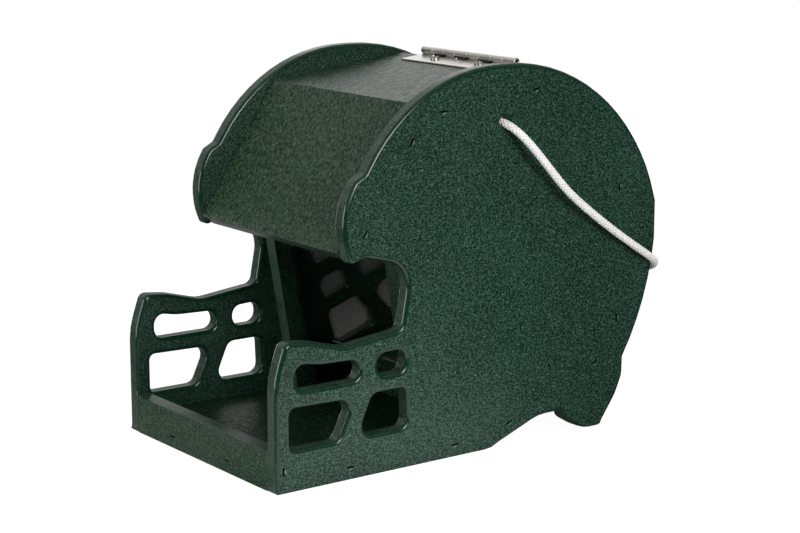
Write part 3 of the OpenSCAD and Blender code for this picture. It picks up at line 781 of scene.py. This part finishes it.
for node, name, body, finish, sawn in (
        ("tray_lip", "trayLip", "housing", lipSheet, plateEdge),
        ("tray_floor", "trayFloor", "housing", traySheet, plateEdge),
        ("feed_ramp", "feedRamp", "housing", panelSheet, plateEdge),
        ("back_panel", "backPanel", "housing", panelSheet, plateEdge),
        ("forehead_panel", "foreheadPanel", "housing", panelSheet, plateEdge),
        ("roof_panel", "roofPanel", "housing", roofSheet, plateEdge),
        ("lid_panel", "lidPanel", "lid", roofSheet, plateEdge),
        # the battens' faces get the darker inside grain, a painted shade
        ("left_window_batten", "leftBatten", "housing", plateInsideShaded, battenStrip),
        ("right_window_batten", "rightBatten", "housing", plateInsideShaded, battenStrip)):
    board = copied(node, name, finish, sawn)
    drawing = bmesh.from_edit_mesh(board.data)
    flat = max(drawing.faces, key=lambda f: f.calc_area()).normal.copy()
    for face in drawing.faces:
        face.material_index = int(abs(face.normal.dot(flat)) < 0.5)  # 1 on the sawn edges
    easedEdges(board, sawEdges, panel["ease"], panel["steps"])
    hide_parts(node)
    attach(board, body)
print("panels eased")

# Hinge leaves with broken edges that catch the light at the knuckles
leaf = {"ease": 0.00035, "steps": 2, "turn": 40}


def sharpEdges(drawing):
    return sharper(drawing, leaf["turn"])


for node, name, body in (
        ("roof_hinge_leaf", "roofLeaf", "housing"),
        ("lid_hinge_leaf", "lidLeaf", "lid")):
    strip = copied(node, name, hingeSteel)
    easedEdges(strip, sharpEdges, leaf["ease"], leaf["steps"])
    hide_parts(node)
    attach(strip, body)
print("hinge edges broken")

# Solids that keep their shape get their finish
for finish, nodes in (
        (clearSheet, ("seed_window",)),
        (pinSteelShaded, ("hinge_pin",)),
        (screwSteel, ("roof_hinge_screws", "lid_hinge_screws")),
        (stapleWireShaded, ("left_plate_staples", "right_plate_staples", "lip_staples",
                      "left_batten_staples", "right_batten_staples"))):
    for node in nodes:
        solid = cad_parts[node]
        solid.data.materials.clear()
        solid.data.materials.append(finish)
print("solids finished")

# Pale floor with painted patches of shade and light that glow for every ray but the camera's,
# soft light
studio = {
    "floor": (0.95, 0.78),  # m across and deep
    "floorPlace": (-0.075, -0.06, -0.0005),
    "floorWhite": (0.86, 0.86, 0.85),
    "floorShade": (0.04, 0.04, 0.04),  # away from the lights
    "floorFrontPaintedGrey": (0.17, 0.165, 0.16),
    "floorBackPaintedGrey": (0.27, 0.262, 0.255),  # at its left, behind
    "floorGlow": 0.95,  # glows white for the camera, and with its painted patches for every other ray
    "zones": {  # where each painted patch of the floor begins, and how sharply
        "left": (-0.25, 8), "leftBack": (-0.06, 7), "beside": (0.02, 20),
        "right": (0.09, 16), "rightBack": (-0.02, 7), "rightFront": (-0.32, 8)},
    "sky": [  # height of a direction, grey
        (0.0, 0.08), (0.13, 0.1), (0.2, 0.23), (0.33, 0.26), (0.46, 0.29), (0.57, 0.4),
        (1.0, 0.65)],
    "leftward": 0.6,  # how much the sky brightens to the left
    "lights": {
        "key": {"place": (1.28, -0.1, 0.64), "size": 0.64, "power": 15.5},
        "front": {"place": (-0.05, -1.25, 0.27), "size": 0.55, "power": 7},
        "roof": {"place": (-1.2, 0.8, 0.8), "size": 0.55, "power": 0.95},
        "back": {"place": (-0.6, 1.3, 0.4), "size": 0.5, "power": 4},
        "left": {"place": (-1.4, 0.0, 0.1), "size": 0.5, "power": 5},
    },
    "aim": (0, 0, 0.15),  # of every light
}
bpy.ops.object.select_all(action="DESELECT")
bpy.ops.mesh.primitive_plane_add(size=1, location=studio["floorPlace"])
floor = bpy.context.object
floor.name = "paleFloor"
floor.scale = (*studio["floor"], 1)
bpy.ops.object.transform_apply(location=True, rotation=True, scale=True)


def past(wire, zone):
    begin, sharp = studio["zones"][zone]
    return (wire - begin) * sharp


def floorRecipe(where):
    faint = noise(where, 6)
    right = component(where, "X")
    behind = component(where, "Y")
    left = mixed(past(right, "left"), studio["floorShade"], studio["floorFrontPaintedGrey"])
    left = mixed(past(behind, "leftBack"), left, studio["floorBackPaintedGrey"])
    # painted shadow in a strip under the near plate
    left = mixed(past(right, "beside"), left, studio["floorShade"])
    near = mixed(past(behind, "rightBack"), studio["floorWhite"], studio["floorShade"])
    near = mixed(past(behind, "rightFront"), studio["floorFrontPaintedGrey"], near)
    colour = mixed(past(right + faint * 0.02, "right"), left, near)
    # the floor glows white for the camera, and with its painted shade and light for every other
    # ray
    seen = where.add("ShaderNodeLightPath", out="Is Camera Ray")
    return {"Base Color": colour, "Emission Color": mixed(seen, colour, (1, 1, 1))}


floor.data.materials.append(paint("paleFloor", {
    "Roughness": 0.9, "Emission Strength": studio["floorGlow"]}, floorRecipe))

world = bpy.data.worlds.new("softStudio")
scene.world = world
world.use_nodes = True
world.node_tree.nodes.clear()
sky = Wire(world.node_tree)
way = sky.add("ShaderNodeTexCoord", out="Object")
stops = [(height, (grey, grey, grey, 1)) for height, grey in studio["sky"]]
dome = sky.add("ShaderNodeValToRGB", {"stops": stops}, {"Fac": component(way, "Z")})
strength = 1 - component(way, "X") * studio["leftward"]
soft = sky.add("ShaderNodeBackground", {}, {"Color": dome, "Strength": strength})
white = sky.add("ShaderNodeBackground", {}, {"Color": (1, 1, 1, 1)})
seen = sky.add("ShaderNodeLightPath", out="Is Camera Ray")
both = sky.add("ShaderNodeMixShader", {}, {0: seen, 1: soft, 2: white})
sky.add("ShaderNodeOutputWorld", {}, {"Surface": both}, out=None)

for name, softbox in studio["lights"].items():
    bpy.ops.object.light_add(type="AREA", location=softbox["place"])
    lamp = bpy.context.object
    lamp.name = name + "Light"
    lamp.data.size = softbox["size"]
    lamp.data.energy = softbox["power"]
    lamp.visible_camera = False
    shine = Vector(studio["aim"]) - Vector(softbox["place"])
    lamp.rotation_euler = shine.to_track_quat("-Z", "Y").to_euler()
print("studio lit")
